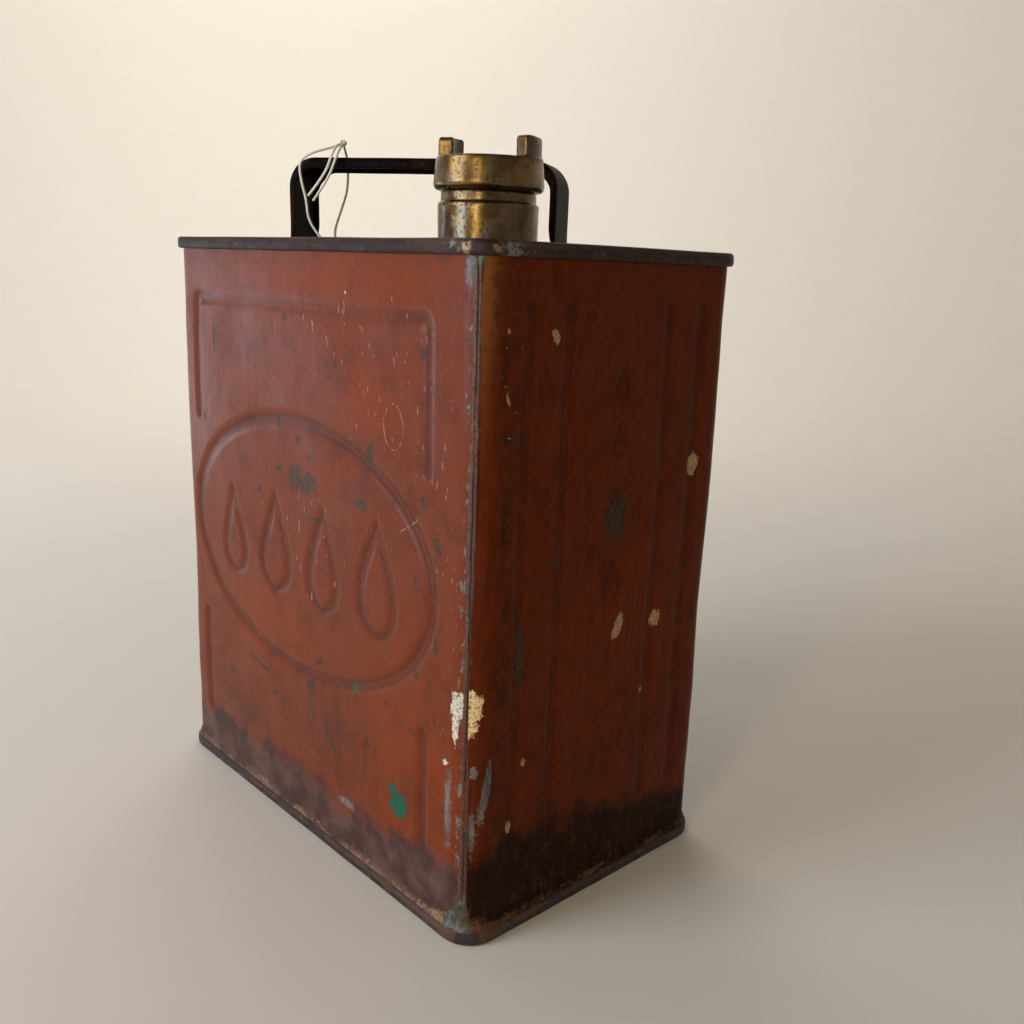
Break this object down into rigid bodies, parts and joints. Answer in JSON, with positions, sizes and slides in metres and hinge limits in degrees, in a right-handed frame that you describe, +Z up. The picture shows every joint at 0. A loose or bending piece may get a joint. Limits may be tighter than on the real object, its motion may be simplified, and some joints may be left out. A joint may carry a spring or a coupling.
{
  "type": "oil can",
  "caption": "Rectangular two-gallon sheet-steel oil can with pressed panels, folded end seams, a diagonal strap handle and a brass screw-capped neck.",
  "frame": {"origin": "on the floor under the middle of the body", "axes": "+Z up; -Y is the wide front panel's outward side; the neck stands near the +X -Y corner"},
  "size_m": [0.2502, 0.1532, 0.3292],
  "materials": {
    "red_paint": "worn brick-red paint over sheet steel, satin, scuffed and chipped",
    "rim_paint": "dark purple-brown worn paint and oil film, satin",
    "base_paint": "dark grey-purple grime over paint, tan scuffs along the upper edge",
    "solder": "dull grey soft solder",
    "brass": "aged brass, brown patina with pitting and worn highlights",
    "handle_iron": "dark brown-black japanned steel, satin",
    "washer_leather": "oil-blackened leather, matt",
    "string": "off-white twisted cotton, matt"
  },
  "bodies": {
    "can": {"front_sheet": "red_paint", "back_sheet": "red_paint", "near_seam_solder": "solder", "far_seam_solder": "solder", "top_plate": "rim_paint", "bottom_plate": "base_paint", "neck_collar": "brass", "neck_solder": "solder", "handle_strap": "handle_iron", "handle_rivets": "handle_iron", "string_loop": "string", "string_end_left": "string", "string_end_right": "string", "string_knot": "string"},
    "washer": {"cap_washer": "washer_leather"},
    "cap": {"screw_cap": "brass"}
  },
  "joints": [
    {"name": "cap_lift", "type": "slide", "parent": "can", "child": "washer", "axis": [0, 0, 1], "range_m": [0, 0.0143]},
    {"name": "cap_turn", "type": "hinge", "parent": "washer", "child": "cap", "pos_m": [0.0825, -0.0385, 0.3007], "axis": [0, 0, 1], "range_deg": [0, 1620]}
  ],
  "couplings": [
    {"joint": "cap_lift", "follows": "cap_turn", "m_per_rad": 0.00050532}
  ]
}
